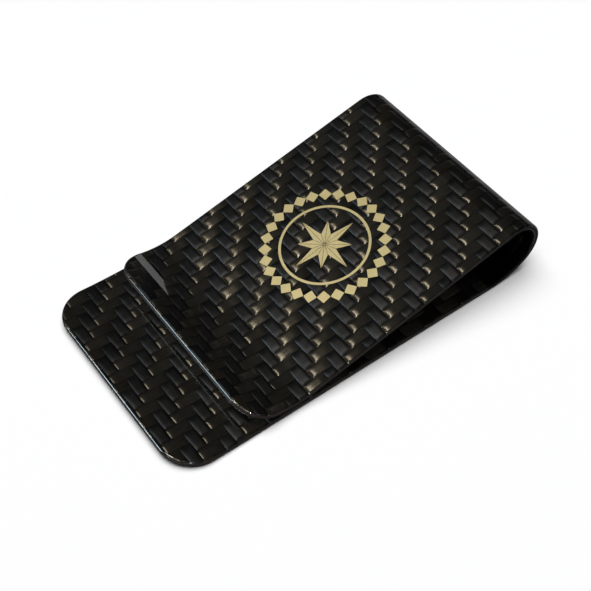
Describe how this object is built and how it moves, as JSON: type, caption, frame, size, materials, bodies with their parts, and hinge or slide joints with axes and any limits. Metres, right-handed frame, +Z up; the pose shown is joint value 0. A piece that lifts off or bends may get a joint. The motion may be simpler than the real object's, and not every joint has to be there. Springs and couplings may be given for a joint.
{
  "type": "money clip",
  "caption": "Money clip of clear-coated carbon twill laminate, one strip bent back in a sprung loop, with a flared thumb lip and a gold emblem.",
  "frame": {"origin": "under the middle of the clip's box, on the surface that the base lies on", "axes": "+X along the clip from the base's tip towards the spring loop, +Y across the strip, +Z up through the base towards the arm"},
  "size_m": [0.071, 0.04, 0.0122],
  "materials": {
    "carbon_twill": "black carbon 2x2 twill under a clear gloss coat",
    "carbon_core": "black carbon and epoxy, polished and coated at the edges",
    "gold_print": "satin metallic gold print"
  },
  "bodies": {
    "base": {"base_outer_twill_ply": "carbon_twill", "base_core_ply_1": "carbon_core", "base_core_ply_2": "carbon_core", "base_core_ply_3": "carbon_core", "base_inner_twill_ply": "carbon_twill", "spring_outer_twill_ply": "carbon_twill", "spring_core_ply_1": "carbon_core", "spring_core_ply_2": "carbon_core", "spring_core_ply_3": "carbon_core", "spring_inner_twill_ply": "carbon_twill"},
    "arm": {"arm_outer_twill_ply": "carbon_twill", "arm_core_ply_1": "carbon_core", "arm_core_ply_2": "carbon_core", "arm_core_ply_3": "carbon_core", "arm_inner_twill_ply": "carbon_twill", "emblem_star": "gold_print", "emblem_ring": "gold_print", "emblem_border": "gold_print"}
  },
  "joints": [
    {"name": "arm_flex", "type": "hinge", "parent": "base", "child": "arm", "pos_m": [0.032, 0, 0.0056], "axis": [0, 1, 0], "range_deg": [0, 8], "stiffness_Nm_per_rad": 4.3, "springref_deg": -1.49, "deforming": ["spring_outer_twill_ply", "spring_core_ply_1", "spring_core_ply_2", "spring_core_ply_3", "spring_inner_twill_ply"]}
  ]
}
